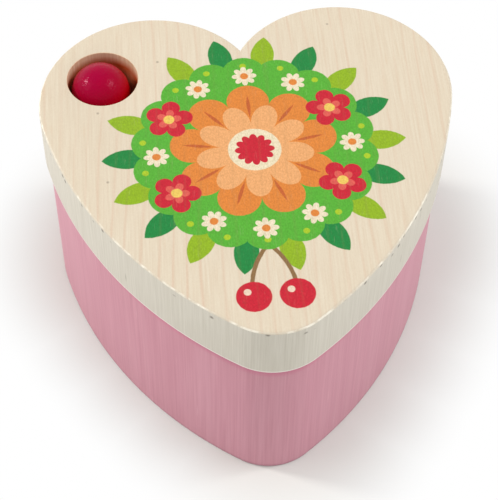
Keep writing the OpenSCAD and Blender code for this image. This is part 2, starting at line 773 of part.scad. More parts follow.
module comb_screws() {
    color([0.75, 0.75, 0.74]) movement() for (x = comb_screw_x)
        translate([x, comb_screw_y, seat_z + comb_t])
            screw(small_shank_r, small_head_r, small_head_h, comb_t + comb_screw_grip, false);
}

// ---- Gear train and governor ----

module end_bracket() {
    color([0.70, 0.70, 0.72]) movement() difference() {
        union() {
            across_shaft(bracket_x, 0, 0, bracket_t) {
                translate([0, axis_z]) circle(bracket_eye_r);
                translate([inter_y, inter_z]) circle(bracket_top_r);
                polygon([[bracket_screw.y - bracket_foot_w / 2, bed_t],
                    [bracket_screw.y + bracket_foot_w / 2 + bracket_flare, bed_t], [bracket_eye_r, axis_z],
                    [inter_y + bracket_top_r, inter_z], [inter_y - bracket_top_r, inter_z],
                    [inter_y - bracket_top_r * 3 / 4, axis_z]]);
            }
            translate([bracket_x, bracket_screw.y - bracket_foot_w / 2, bed_t])
                cube([bracket_screw.x + foot_margin - bracket_x, bracket_foot_w, foot_t]);
        }
        shaft_x(bracket_x - cut, bracket_x + bracket_t + cut, 0, axis_z, shaft_r + fit_gap);
        shaft_x(bracket_x - cut, bracket_x + bracket_t + cut, inter_y, inter_z, shaft_r + fit_gap);
        translate([bracket_screw.x, bracket_screw.y, 0]) cylinder(r = small_shank_r, h = bed_t + foot_t + cut);
    }
}

module bracket_screws() {
    color([0.75, 0.75, 0.74]) movement() for (p = [frame_screw, bracket_screw])
        translate([p.x, p.y, bed_t + foot_t])
            screw(small_shank_r, small_head_r, small_head_h, foot_t + bed_t - foot_screw_end, false);
}

module governor_frame() {
    color([0.66, 0.66, 0.67]) movement() difference() {
        union() {
            translate([frame_x, frame_back_y, bed_t])
                cube([frame_t, frame_front_y - frame_back_y, top_arm_z + arm_t - bed_t]);
            shaft_x(frame_x, frame_x + frame_t, inter_y, inter_z, frame_eye_r);
            translate([frame_x, worm_y, inter_z - frame_eye_r])
                cube([frame_t, inter_y - worm_y, 2 * frame_eye_r]);
            translate([frame_screw.x - frame_foot_x, frame_back_y, bed_t])
                cube([frame_x - frame_screw.x + frame_foot_x + frame_t / 2, frame_front_y - frame_back_y, foot_t]);
            for (z = [low_arm_z, top_arm_z]) {
                translate([frame_x, worm_y - arm_r, z]) cube([worm_x - frame_x, 2 * arm_r, arm_t]);
                translate([worm_x, worm_y, z]) cylinder(r = arm_r, h = arm_t);
            }
        }
        shaft_x(frame_x - cut, frame_x + frame_t + cut, inter_y, inter_z, shaft_r + fit_gap);
        translate([worm_x, worm_y, low_arm_z - cut])
            cylinder(r = worm_pivot_r + fit_gap, h = top_arm_z - low_arm_z + arm_t + 2 * cut);
        translate([frame_screw.x, frame_screw.y, 0]) cylinder(r = small_shank_r, h = bed_t + foot_t + cut);
    }
}

module intermediate_arbor() {
    color([0.70, 0.71, 0.73]) movement() shaft_x(frame_x - 0.1, shaft_end, inter_y, inter_z, shaft_r);
}

module intermediate_pinion() {
    color([0.83, 0.71, 0.42]) movement() across_shaft(gear_x, inter_y, inter_z, gear_t) difference() {
        gear_outline(small_teeth, gear_module, gear_play, lift_angle + 180 + 180 / small_teeth);
        circle(shaft_r);
    }
}

module worm_wheel() {
    color([0.83, 0.71, 0.42]) movement()
        across_shaft(worm_x - worm_wheel_t / 2, inter_y, inter_z, worm_wheel_t) difference() {
            gear_outline(worm_teeth, gear_module, gear_play + 0.02, 180);
            circle(shaft_r);
        }
}

// Radius of the worm's thread at an angle from its crest
function thread_r(a) = worm_r + gear_module * max(-1.15, min(0.85, (55 - abs(a)) / 40));

module governor_worm() {
    sides = 16;
    slices_per_turn = 10;
    turns = worm_len / worm_pitch;
    start = -90 - 360 * (inter_z - worm_z) / worm_pitch;
    color([0.70, 0.71, 0.73]) movement() translate([worm_x, worm_y, 0]) {
        translate([0, 0, worm_z]) rotate(start)
            linear_extrude(worm_len, twist = -360 * turns, slices = round(slices_per_turn * turns),
                segments = 0, $fn = 0)
                polygon([for (i = [0:sides - 1]) let (a = -180 + i * 360 / sides)
                    thread_r(a) * [cos(a), sin(a)]]);
        translate([0, 0, low_arm_z + pivot_end])
            cylinder(r = worm_pivot_r, h = top_arm_z + arm_t - 2 * pivot_end - low_arm_z);
        translate([0, 0, low_arm_z + arm_t + pivot_end])
            cylinder(r = governor_shaft_r, h = worm_z - low_arm_z - arm_t - pivot_end);
        translate([0, 0, worm_z + worm_len])
            cylinder(r = governor_shaft_r, h = top_arm_z - pivot_end - worm_z - worm_len);
    }
}

module governor_fan() {
    color([0.93, 0.93, 0.90]) movement() translate([worm_x, worm_y, fan_z]) difference() {
        union() {
            cylinder(r = fan_hub_r, h = fan_h);
            translate([-fan_r, -fan_blade_t / 2, 0]) cube([2 * fan_r, fan_blade_t, fan_h]);
        }
        translate([0, 0, -cut]) cylinder(r = governor_shaft_r, h = fan_h + 2 * cut);
    }
}

body_shell();
base_cover();
base_screws();
lid();
finger_ball();
ball_screw();
lid_hub();
hub_screws();
winding_arbor();
bedplate();
bedplate_screws();
great_wheel();
clutch_spring();
spring_housing();
housing_cover();
housing_screws();
mainspring();
cylinder_arbor();
drive_pinion();
tune_cylinder();
cylinder_caps();
cylinder_gear();
comb();
comb_weights();
comb_screws();
end_bracket();
bracket_screws();
governor_frame();
intermediate_arbor();
intermediate_pinion();
worm_wheel();
governor_worm();
governor_fan();
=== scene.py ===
# %% [markdown]
# # A wind up music box in the shape of a heart
#
# The box is a wooden toy: a pink stained body with a pale lid on top, and a red wooden ball
# set into the lid. The lid is turned by the ball like a crank, which winds the mechanical
# movement in the body. The packed CAD part gives the fixed frame. Its movement is kept as
# it is, and its wooden pieces are made again here with finer curves.
# %% Open the frame
import json
import math
import bmesh
import bpy
from mathutils import Matrix, Vector

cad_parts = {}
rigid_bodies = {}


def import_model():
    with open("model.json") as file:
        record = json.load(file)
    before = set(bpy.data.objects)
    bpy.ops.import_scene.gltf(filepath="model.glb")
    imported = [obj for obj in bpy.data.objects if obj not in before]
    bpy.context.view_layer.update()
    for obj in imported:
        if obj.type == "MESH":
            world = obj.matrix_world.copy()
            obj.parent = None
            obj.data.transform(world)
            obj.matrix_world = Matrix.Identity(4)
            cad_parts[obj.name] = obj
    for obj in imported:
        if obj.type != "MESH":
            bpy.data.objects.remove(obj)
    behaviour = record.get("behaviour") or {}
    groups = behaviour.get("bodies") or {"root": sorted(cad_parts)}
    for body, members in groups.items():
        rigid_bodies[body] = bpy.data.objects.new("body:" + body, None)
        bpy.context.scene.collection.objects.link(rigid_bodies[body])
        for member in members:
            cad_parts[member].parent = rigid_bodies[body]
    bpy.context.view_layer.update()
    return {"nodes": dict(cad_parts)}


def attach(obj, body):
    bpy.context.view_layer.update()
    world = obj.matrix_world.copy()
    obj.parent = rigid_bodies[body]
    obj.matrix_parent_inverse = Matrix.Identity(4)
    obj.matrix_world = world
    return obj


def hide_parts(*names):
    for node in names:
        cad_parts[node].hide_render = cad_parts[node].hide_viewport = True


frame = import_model()
MM = 0.001

# %% [markdown]
# ## Camera
#
# A camera can be placed by hand, or by the point it looks at, its distance and three
# angles. The second way is used, because each number then has a plain meaning. The long
# lens keeps the heart nearly free of perspective.
# %% Camera
azimuth, elevation, roll = math.radians(-7.22), math.radians(54.15), math.radians(-1.07)
aim = Vector((-3.2, -17.7, 43.5)) * MM
camera_distance = 249.6 * MM
back = Vector((math.sin(azimuth) * math.cos(elevation), -math.cos(azimuth) * math.cos(elevation),
               math.sin(elevation)))
level = Vector((math.cos(azimuth), math.sin(azimuth), 0))
above = back.cross(level)
right = math.cos(roll) * level - math.sin(roll) * above
up = math.sin(roll) * level + math.cos(roll) * above

lens = bpy.data.cameras.new("camera")
lens.sensor_width = 36
lens.lens = 114.5
lens.clip_start = 0.01
camera = bpy.data.objects.new("camera", lens)
bpy.context.scene.collection.objects.link(camera)
turned_back = Matrix((right, up, back)).transposed().to_4x4()
camera.matrix_world = Matrix.Translation(aim + camera_distance * back) @ turned_back
bpy.context.scene.camera = camera
print("camera at", [round(v / MM, 1) for v in camera.location], "mm")

# %% [markdown]
# ## Studio lamps
#
# The box stands under an overcast sky and four round lamps: a large soft one on each side,
# and near it a small bulb, which puts a crisp spark on the lacquered ball. One picture of a
# bright room could light everything at once, but a lamp can be moved and named on its own.
# The lamps are kept at a plain level, so that a colour renders about as it is written.
# %% Lamps
box_middle = Vector((0, 0, 0.02))
warm_white, cool_white = (1, 0.985, 0.96), (0.98, 0.99, 1)


def lamp(name, place, size, watts, colour):
    """A round lamp, size metres across, that shines on the middle of the box."""
    light = bpy.data.lights.new(name, "AREA")
    light.shape = "DISK"
    light.size = size
    light.energy = watts
    light.color = colour
    holder = bpy.data.objects.new(name, light)
    bpy.context.scene.collection.objects.link(holder)
    holder.location = place
    holder.rotation_euler = (Vector(place) - box_middle).to_track_quat("Z", "Y").to_euler()


lamp("lamp_left", (-0.6, -0.05, 0.56), 0.4, 0.6, warm_white)
lamp("bulb_left", (-0.61, 0.23, 0.54), 0.13, 2.8, warm_white)
lamp("lamp_right", (0.54, -0.08, 0.68), 0.42, 1.9, cool_white)
lamp("bulb_right", (0.55, 0.04, 0.68), 0.12, 1.1, cool_white)
bpy.context.scene.view_settings.view_transform = "Standard"

# %% [markdown]
# ## Writing a finish
#
# A finish can be wired by hand, socket by socket. It is easier to read as sums. `Reading`
# wraps one socket and adds a Math node for each sign in an expression, and `Finish.node`
# adds any other node from its type, its settings and its inputs.
# %% Readings
class Reading:
    """One socket of a finish, which takes part in Python arithmetic."""

    def __init__(self, finish, socket):
        self.finish, self.socket = finish, socket

    def maths(self, operation, *values):
        return self.finish.node("ShaderNodeMath", {"operation": operation}, dict(enumerate(values)))

    def __add__(self, other):
        return self.maths("ADD", self, other)

    def __sub__(self, other):
        return self.maths("SUBTRACT", self, other)

    def __mul__(self, other):
        return self.maths("MULTIPLY", self, other)

    def __truediv__(self, other):
        return self.maths("DIVIDE", self, other)

    def __pow__(self, other):
        return self.maths("POWER", self, other)

    def __radd__(self, other):
        return self.maths("ADD", other, self)

    def __rsub__(self, other):
        return self.maths("SUBTRACT", other, self)

    def __rmul__(self, other):
        return self.maths("MULTIPLY", other, self)

    def __abs__(self):
        return self.maths("ABSOLUTE", self)

    def least(self, other):
        return self.maths("MINIMUM", self, other)

    def most(self, other):
        return self.maths("MAXIMUM", self, other)

    def clamped(self):
        return self.least(1).most(0)

    def above(self, start, slope):
        """0 up to start, then rising by slope for each unit, and 1 at most."""
        return ((self - start) * slope).clamped()

    def wave(self):
        """Swings evenly from 1 down to 0 and back, once for each unit."""
        return abs(self.maths("FRACT", self) - 0.5) * 2


print("a reading knows", [name for name in vars(Reading) if not name.startswith("_")])

# %% The finish
def paint(code):
    """A colour as it is seen, six hexadecimal digits, turned into the linear light of a shader."""
    seen = [int(code[i:i + 2], 16) / 255 for i in (0, 2, 4)]
    return (*[v / 12.92 if v <= 0.04045 else ((v + 0.055) / 1.055) ** 2.4 for v in seen], 1)


class Finish:
    """One material. Its shader's constants are given by name, and its nodes are added in order."""

    def __init__(self, name, constants):
        self.material = bpy.data.materials.new(name)
        self.material.use_nodes = True
        self.tree = self.material.node_tree
        self.tree.nodes.clear()
        self.shader = self.tree.nodes.new("ShaderNodeBsdfPrincipled")
        for key, value in constants.items():
            self.shader.inputs[key].default_value = value
        output = self.tree.nodes.new("ShaderNodeOutputMaterial")
        self.tree.links.new(self.shader.outputs[0], output.inputs["Surface"])

    def node(self, kind, settings, inputs, output=0):
        """Adds a node and gives a reading of one of its outputs."""
        made = self.tree.nodes.new(kind)
        for key, value in settings.items():
            setattr(made, key, value)
        for key, value in inputs.items():
            if isinstance(value, Reading):
                self.tree.links.new(value.socket, made.inputs[key])
            else:
                made.inputs[key].default_value = value
        return Reading(self, made.outputs[output])

    def feed(self, key, value):
        """Links a reading to an input of the shader."""
        self.tree.links.new(value.socket, self.shader.inputs[key])

    def place(self, stretch=(1, 1, 1), turn=(0, 0, 0)):
        """Object coordinates in millimetres, turned and then stretched."""
        spot = self.node("ShaderNodeTexCoord", {}, {}, "Object")
        turned = self.node("ShaderNodeMapping", {}, {"Vector": spot, "Rotation": turn})
        return self.node("ShaderNodeMapping", {}, {"Vector": turned, "Scale": [s / MM for s in stretch]})

    def axis(self, where, letter):
        """One coordinate of a place."""
        return self.node("ShaderNodeSeparateXYZ", {}, {0: where}, letter)

    def distance(self, where, point):
        """How far a place lies from a fixed point."""
        return self.node("ShaderNodeVectorMath", {"operation": "DISTANCE"}, {0: where, 1: tuple(point)},
                         "Value")

    def noise(self, where, size, detail=2.0, roughness=0.5):
        """Soft random patches about size millimetres across, from 0 to 1."""
        return self.node("ShaderNodeTexNoise", {}, {"Vector": where, "Scale": 1 / size, "Detail": detail,
                                                    "Roughness": roughness})

    def over(self, mask, below, top):
        """The colour top laid over the colour below, as far as the mask says."""
        return self.node("ShaderNodeMix", {"data_type": "RGBA"}, {0: mask, 6: below, 7: top}, 2)

    def layers(self, ground, *coats):
        """A ground colour under its coats, each of them a mask and the six digits of a colour."""
        colour = ground
        for mask, code in coats:
            colour = self.over(mask, colour, paint(code))
        return colour

    def bump(self, height, depth):
        """Tilts the surface by a height from 0 to 1 that stands for depth millimetres."""
        self.feed("Normal", self.node("ShaderNodeBump", {}, {"Height": height, "Distance": depth * MM,
                                                             "Strength": 1.0}))


print("a finish knows", [name for name in vars(Finish) if not name.startswith("_")])

# %% [markdown]
# ## The arcs of the heart
#
# The outline is made of three arcs on each side: a lobe, a long side and a small round tip,
# each running smoothly into the next. It could be drawn freely as a curve. Arcs are how a
# workshop would set it out, and all that has this shape can then share a few numbers: the
# lid, the body, its pocket, and the shade on the floor. Lengths are in millimetres.
# %% Sizes of the heart
lobe_r, side_r, tip_r = 19.0, 69.0, 10.7
lobe = Vector((16.0, 14.7))
tip = Vector((0.0, -23.0))
to_tip = (tip - lobe).normalized()
span = (tip - lobe).length
along = ((side_r - lobe_r) ** 2 - (side_r - tip_r) ** 2 + span ** 2) / (2 * span)
beside = math.sqrt((side_r - lobe_r) ** 2 - along ** 2)
side = lobe + to_tip * along + Vector((to_tip.y, -to_tip.x)) * beside
lobe_end = math.atan2(*(lobe - side).yx)
tip_start = math.atan2(*(tip - side).yx)
print("side centre", [round(v, 2) for v in side], "joints at", round(math.degrees(lobe_end), 1),
      round(math.degrees(tip_start), 1), "degrees")

# %% [markdown]
# ## Floor and sky
#
# The box stands on pale board, before a clean white background. A white world of full
# strength would give that, but it would also light the box too strongly. So the rays are
# sorted: those from the camera, off metal and through glass see pure white, and all others
# meet a softer sky. On the floor the white fades in with the distance from the heart. Close
# to the box the grey of the board stays as a band of painted shade, shifted a little to the
# back and right, and the box's real soft shadow falls within it.
# %% Floor finish
white = (1, 1, 1, 1)
white_rays = ("Is Camera Ray", "Is Glossy Ray", "Is Transmission Ray")
floor_finish = Finish("pale_floor", {"Roughness": 0.9, "Specular IOR Level": 0.1})
floor_spot = floor_finish.place()
floor_cloud = floor_finish.noise(floor_spot, 40)
# The board is a darker grey than white, so that near the box it also serves as painted shade.
floor_finish.feed("Base Color", floor_finish.over(floor_cloud, paint("dadbd6"), paint("dedfda")))

# Painted shade: the band where the grey board shows follows the heart, shifted towards its shadow, and
# fades into white over the fade width in millimetres.
painted_shade_shift, side_bulge, painted_shade_width = Vector((2.6, 1.5, 0)), 5, 20
from_box = None
for share in (0, 0.25, 0.5, 0.75, 1):
    radius = lobe_r - (lobe_r - tip_r) * share + side_bulge * share * (1 - share)
    for hand in (-1, 1):
        centre = Vector((lobe.x * hand, lobe.y, 0)).lerp(tip.to_3d(), share) + painted_shade_shift
        reach = floor_finish.distance(floor_spot, centre) - radius
        from_box = reach if from_box is None else from_box.least(reach)
out = (from_box / painted_shade_width).clamped()
from_camera, off_metal, through_glass = [floor_finish.node("ShaderNodeLightPath", {}, {}, ray)
                                         for ray in white_rays]
far_floor = out * out * (3 - 2 * out) * from_camera.most(off_metal).most(through_glass)
lit_board = Reading(floor_finish, floor_finish.shader.outputs[0])
glow = floor_finish.node("ShaderNodeEmission", {}, {"Color": white, "Strength": 1.0})
shown_board = floor_finish.node("ShaderNodeMixShader", {}, {0: far_floor, 1: lit_board, 2: glow})
board_surface = floor_finish.tree.nodes["Material Output"].inputs["Surface"]
floor_finish.tree.links.new(shown_board.socket, board_surface)
print("the floor finish has", len(floor_finish.tree.nodes), "nodes")

# %% Floor
floor_half_side, floor_drop = 3, 0.00003
sheet = bmesh.new()
bmesh.ops.create_grid(sheet, x_segments=1, y_segments=1, size=floor_half_side)
floor_mesh = bpy.data.meshes.new("floor")
sheet.to_mesh(floor_mesh)
sheet.free()
floor = bpy.data.objects.new("floor", floor_mesh)
bpy.context.scene.collection.objects.link(floor)
floor.location = (0, 0, -floor_drop)
floor_mesh.materials.append(floor_finish.material)
print("the floor is", 2 * floor_half_side, "m wide")

# %% Sky
sky_strength = 0.64
sky = bpy.data.worlds.new("sky")
bpy.context.scene.world = sky
sky.use_nodes = True
sky_tree = sky.node_tree
soft_sky = sky_tree.nodes["Background"]
soft_sky.inputs["Color"].default_value = white
soft_sky.inputs["Strength"].default_value = sky_strength
white_sky = sky_tree.nodes.new("ShaderNodeBackground")
white_sky.inputs["Color"].default_value = white
rays = sky_tree.nodes.new("ShaderNodeLightPath")
shown_sky = soft_sky
for ray in white_rays:
    choice = sky_tree.nodes.new("ShaderNodeMixShader")
    sky_tree.links.new(rays.outputs[ray], choice.inputs[0])
    sky_tree.links.new(shown_sky.outputs[0], choice.inputs[1])
    sky_tree.links.new(white_sky.outputs[0], choice.inputs[2])
    shown_sky = choice
sky_tree.links.new(shown_sky.outputs[0], sky_tree.nodes["World Output"].inputs["Surface"])
print("the sky lights the box with", sky_strength, "of white")

# %% [markdown]
# ## Bare wood
#
# The lid is a close-grained pale wood, such as maple. On its top the growth rings show as
# faint warm lines that run from the notch to the tip. On its sides the same fibres are cut
# across, which gives fine upright streaks and a greyer tone. Wood could be wrapped on as a
# picture. Noise that is stretched along the fibres needs none, and goes right through a
# piece. A pale line is painted on the lower arris of the lid as a highlight, where it catches
# light from the floor. Pores lie open under its upper edge, and the wall of the recess turns
# red-orange towards its bottom, near the ball.
# %% Upright streaks for cut sides
lid_low, lid_high, lid_round = 31.9, 43.5, 0.5


def streaks(finish, size, length):
    """Upright streaks, about size millimetres wide and length long."""
    return finish.noise(finish.place((1, 1, size / length)), size, 3.0, 0.6)


def pores(finish, spacing, radius, longer=1):
    """1 in small pores, scattered spacing millimetres apart, or in upright cracks.

    A pore is full up to 0.6 of its radius and fades out at 1.6 of it.
    """
    where = finish.place((1, 1, 1 / longer))
    reach = finish.node("ShaderNodeTexVoronoi", {}, {"Vector": where, "Scale": 1 / spacing}, "Distance")
    return (1.6 - reach * spacing / radius).clamped()


def height_of(finish):
    """The height above the floor in millimetres."""
    return finish.axis(finish.place(), "Z")


print("the lid lies from", lid_low, "to", lid_high, "mm")

# %% Cut sides
def cut_side(name, pale, dark, grey):
    """A wood cut across its fibres, and its colour, on which a caller lays marks of its own."""
    wood = Finish(name, {"Specular IOR Level": 0.3})
    fine = streaks(wood, 0.3, 12)
    broad = streaks(wood, 1.7, 60)
    cloud = wood.noise(wood.place(), 11, 3.0)
    tone = wood.layers(paint(dark), (fine.above(0.28, 2.0), pale), (broad.above(0.54, 2.4) * 0.5, grey),
                       (cloud.above(0.45, 1.6) * 0.3, pale))
    wood.feed("Roughness", 0.55 + 0.2 * fine)
    wood.bump(fine * 0.7 + broad * 0.3, 0.02)
    return wood, tone


print("cut sides can be made by", cut_side.__name__)

# %% Side of the lid
pit_depth, pit_band, arris_highlight_fade = 1.0, 0.8, 0.25
lid_wood, side_tone = cut_side("lid_side_wood", "e2dcd0", "d0c9bb", "d7d0c1")
lid_height = height_of(lid_wood)
near_edge = (1 - abs(lid_height - lid_high + pit_depth) / pit_band).clamped() ** 0.3
open_pores = pores(lid_wood, 1.8, 0.3) * near_edge
cracks = pores(lid_wood, 2.1, 0.1, 9)
# Painted highlight: a pale line along the lower arris, where the rounded edge catches light.
arris_highlight = (1 - (lid_height - lid_low - lid_round) / arris_highlight_fade).clamped()
side_tone = lid_wood.layers(side_tone, (open_pores * 0.85, "635648"), (cracks * 0.55, "8f8574"),
                            (arris_highlight * 0.8, "faf3ec"))
lid_wood.feed("Base Color", side_tone)
lid_side = lid_wood.material
print("side finish:", lid_side.name)

# %% Wall of the recess
wall_red_top, wall_red_fade = 0.8, 1.7
recess_wood, wall_tone = cut_side("recess_wood", "e9d0b2", "cda680", "d9b592")
patches = recess_wood.noise(recess_wood.place(), 3.5)
# The wall is painted red-orange in patches, more so towards the bottom of the recess.
deep_down = ((lid_high - wall_red_top - height_of(recess_wood)) / wall_red_fade).clamped()
wall_red = deep_down * (0.5 + 0.9 * patches).clamped()
recess_wood.feed("Base Color", recess_wood.over(wall_red, wall_tone, paint("c4501c")))
recess_side = recess_wood.material
print("recess finish:", recess_side.name)

# %% [markdown]
# ## The printed top
#
# The picture on the lid is printed straight on the bare wood, so that the grain shows
# through the ink. It is a plain garden wreath: a green ground with a big orange flower,
# red blossoms, small cream daisies, a ring of leaves, and two cherries at the tip. A
# picture can be painted or drawn by sums on the coordinates. Here each shape is a distance
# to its own edge, in millimetres, so the print stays sharp at any size.
# %% Shapes of the print
edge_wander, edge_softness = 0.16, 0.14


class Print:
    """Draws flat shapes on a finish. Every shape is a distance: below 0 inside, above 0 outside."""

    def __init__(self, finish):
        self.finish = finish
        self.spot = finish.place((1, 1, 0))
        self.x = finish.axis(self.spot, "X")
        self.y = finish.axis(self.spot, "Y")
        rough_edge = finish.noise(finish.place((1, 0.35, 1)), 0.5)
        self.ragged = rough_edge * edge_wander - edge_wander / 2

    def disc(self, x, y, radius):
        return self.finish.distance(self.spot, (x, y, 0)) - radius

    def leaf(self, x, y, angle, length, width):
        """The overlap of two large discs, which has two pointed ends."""
        radius = (length ** 2 + width ** 2) / (4 * width)
        reach = radius - width / 2
        aside_x, aside_y = -math.sin(math.radians(angle)) * reach, math.cos(math.radians(angle)) * reach
        one = self.disc(x + aside_x, y + aside_y, radius)
        return one.most(self.disc(x - aside_x, y - aside_y, radius))

    def petals(self, x, y, count, inner, outer, turn=0.0, fullness=0.5):
        """A ring of rounded petals: the edge swings between the inner and the outer radius."""
        around = self.x.maths("ARCTAN2", self.y - y, self.x - x)
        swing = abs(self.x.maths("COSINE", (around - math.radians(turn)) * (count / 2))) ** fullness
        return self.finish.distance(self.spot, (x, y, 0)) - (inner + (outer - inner) * swing)

    def arc(self, x, y, radius, width, within):
        """A curved line, kept where it lies inside another shape."""
        return (abs(self.disc(x, y, radius)) - width / 2).most(within)

    def ink(self, shape):
        """1 where there is ink, 0 on bare wood, with a slightly ragged edge."""
        return (0.5 - (shape + self.ragged) / edge_softness).clamped()


print("shapes:", [name for name in vars(Print) if not name.startswith("_")])

# %% Bare top
top_finish = Finish("printed_top_wood", {"Specular IOR Level": 0.35})
slant = (0, 0, math.radians(2.5))
rings_per_mm, ring_drift = 0.42, 3.4


def grain(size, squeeze, detail=2.0, roughness=0.5):
    """Noise of the top, about size millimetres across and drawn out along its fibres."""
    return top_finish.noise(top_finish.place((1, squeeze, 1), slant), size, detail, roughness)


fibre = grain(0.3, 0.03, 3.0, 0.6)
drift = grain(14, 0.18)
fleck = grain(0.75, 0.12, 1.0)
mottle = grain(0.24, 0.6, 2.0, 0.7)
across = top_finish.axis(top_finish.place((1, 1, 1), slant), "X")
ring = (across * rings_per_mm + drift * ring_drift).wave()
ring_line = ring.above(0.72, 3.6) * drift.above(0.3, 2.2) * (0.5 + grain(1.1, 0.05))
bare = top_finish.layers(paint("d1c1aa"), (fibre.above(0.34, 2.2), "dacfba"),
                         ((ring_line * 0.7).clamped(), "ccab92"), (fleck.above(0.64, 5) * 0.35, "d0b494"),
                         (mottle.above(0.5, 3) * 0.14, "e1d6c2"),
                         (pores(top_finish, 6.1, 0.22) * 0.7, "7d6f60"))
print("the bare top has", len(top_finish.tree.nodes), "nodes")

# %% Laying ink
drawing = Print(top_finish)
picture = bare
covered = None


def lay(shape, code):
    """Prints one shape in one colour over what is there."""
    global picture, covered
    mask = drawing.ink(shape)
    covered = mask if covered is None else covered.most(mask)
    picture = top_finish.over(mask, picture, paint(code))


def out_from(x, y, angle, reach):
    """The point that lies at an angle and a reach from x, y."""
    return x + reach * math.cos(math.radians(angle)), y + reach * math.sin(math.radians(angle))


print("ink can be laid")

# %% Leaves, cherries and ground
middle = (0.0, 2.5)
dark_green, light_green, blossom_red = "078238", "8fb310", "c8102c"
recess_angle = 140
for angle in range(0, 360, 20):
    if angle != recess_angle:
        lay(drawing.leaf(*out_from(*middle, angle, 20.9), angle, 8.6, 4.0),
            dark_green if angle % 40 else light_green)
for hand in (-1, 1):
    stem_area = drawing.disc(hand * 2.2, -20.8, 4.6)
    lay(drawing.arc(hand * -10.26, -26.0, 13.78, 0.7, stem_area), "8a6840")
    lay(drawing.disc(hand * 3.4, -26.6, 2.8), blossom_red)
    lay(drawing.disc(hand * 3.4 - 0.9, -25.7, 0.6), "ecd4c0")
lay(drawing.petals(*middle, 18, 18.7, 20.4, 10, 0.7), "54ad2e")
for angle in range(10, 360, 20):
    lay(drawing.disc(*out_from(*middle, angle, 18.5), 0.55), "a9c71c")
print("leaves, cherries and ground are drawn")

# %% The flowers
flower_orange = "de8434"
lay(drawing.petals(*middle, 9, 9.8, 14.0, 10, 0.5), flower_orange)
lay(drawing.petals(*middle, 9, 5.4, 9.8, 30, 0.6), "ebaa70")
for angle in range(10, 360, 40):
    lay(drawing.leaf(*out_from(*middle, angle, 9.4), angle, 4.8, 0.6), "c05e28")
lay(drawing.disc(*middle, 4.4), "ecdec0")
lay(drawing.petals(*middle, 12, 2.5, 3.3, 0, 0.8), blossom_red)
for angle in (30, 150, 210, 330):
    x, y = out_from(*middle, angle, 15.6)
    lay(drawing.petals(x, y, 5, 2.3, 4.0, angle, 0.6), blossom_red)
    lay(drawing.petals(x, y, 5, 0.9, 2.1, angle, 0.8), "dd5a50")
    lay(drawing.disc(x, y, 0.9), "ecc860")
for angle in (0, 60, 90, 120, 180, 240, 270, 300):
    x, y = out_from(*middle, angle, 16.2)
    lay(drawing.petals(x, y, 8, 1.2, 2.1, angle, 0.7), "ecdfc4")
    lay(drawing.disc(x, y, 0.7), flower_orange)
print("the print has", len(top_finish.tree.nodes), "nodes")

# %% Ink over grain
worn_ink = grain(0.22, 0.1, 2.0, 0.7).above(0.6, 5)
dulled = top_finish.node("ShaderNodeMix", {"data_type": "RGBA", "blend_type": "MULTIPLY"},
                         {0: 1.0, 6: picture, 7: paint("dcdad0")}, 2)
in_fibres = ((0.75 - mottle) * 2.2).clamped() * (0.15 + 0.85 * covered)
grainy = top_finish.over(in_fibres, picture, dulled)
grainy = top_finish.over(covered * ring_line * 0.2, grainy, paint("7d6a44"))
grainy = top_finish.over(covered * worn_ink * 0.12, grainy, bare)

# A broken pale line along the rounded upper rim: partly wear, partly a painted highlight where the edge
# catches light.
rim_start, rim_fade = 0.04, 0.1
rim_wear_and_highlight = ((lid_high - rim_start - height_of(top_finish)) / rim_fade).clamped()
patchy = top_finish.noise(top_finish.place(), 2.6, 3.0, 0.7).above(0.46, 6)
grainy = top_finish.over(rim_wear_and_highlight * (0.25 + 0.75 * patchy), grainy, paint("fbf4e4"))
top_finish.feed("Base Color", grainy)
top_finish.feed("Roughness", 0.58 - 0.14 * covered + 0.12 * fibre)
top_finish.bump(fibre * 0.6 + (1 - ring_line) * 0.4, 0.02)
printed_top = top_finish.material
print("top finish:", printed_top.name)

# %% [markdown]
# ## Pink stain
#
# The body is stained, not painted: the colour sinks into the fibres, so it is uneven,
# deeper in the open grain and paler on the hard streaks. One flat pink would look like
# plastic. So the same stretched noise is used again, with a slow cloud over it. The upper
# edge, just under the lid, is painted a deeper pink, and a dark band along the foot is
# painted shade where the body meets the floor.
# %% Pink stain
body_high, body_inset = 31.6, 0.7
rich_depth, rich_fade, foot_high = 2.0, 1.2, 0.9


def stained(name, pale, mid, deep, rich, foot_shade):
    """A stained wood in five tones: three for its grain, one for its upper edge, and one for painted shade
    along its foot.
    """
    wood = Finish(name, {"Specular IOR Level": 0.35})
    fine = streaks(wood, 0.35, 22)
    broad = streaks(wood, 2.2, 60)
    cloud = wood.noise(wood.place((1, 1, 0.6)), 13, 3.0)
    long_pores = pores(wood, 1.3, 0.1, 14)
    height = height_of(wood)
    # The band just under the lid is painted a deeper pink.
    near_edge = ((height - (body_high - rich_depth)) / rich_fade).clamped()
    # Painted shade: the foot is darkened as the shadow where the body stands on the floor.
    painted_foot_shade = (foot_high - height).clamped()
    wood.feed("Base Color", wood.layers(
        paint(deep), (fine.above(0.3, 2.2), mid), (broad.above(0.45, 2.6) * 0.32, pale),
        (cloud.above(0.5, 2) * 0.35, deep), (long_pores * 0.4, pale), (near_edge * 0.6, rich),
        (painted_foot_shade * 0.5, foot_shade)))
    wood.feed("Roughness", 0.46 + 0.2 * fine)
    wood.bump(fine * 0.6 + broad * 0.4, 0.03)
    return wood.material


pink_stain = stained("pink_stain", "e1acb9", "d79baa", "c98998", "d0728f", "94606f")
# The pocket inside the body is given darker, greyer tones than the outside.
pocket_stain = stained("pocket_stain", "cfa0a8", "c6909b", "b27884", "b9707f", "8a5a66")
print("stains:", pink_stain.name, pocket_stain.name)

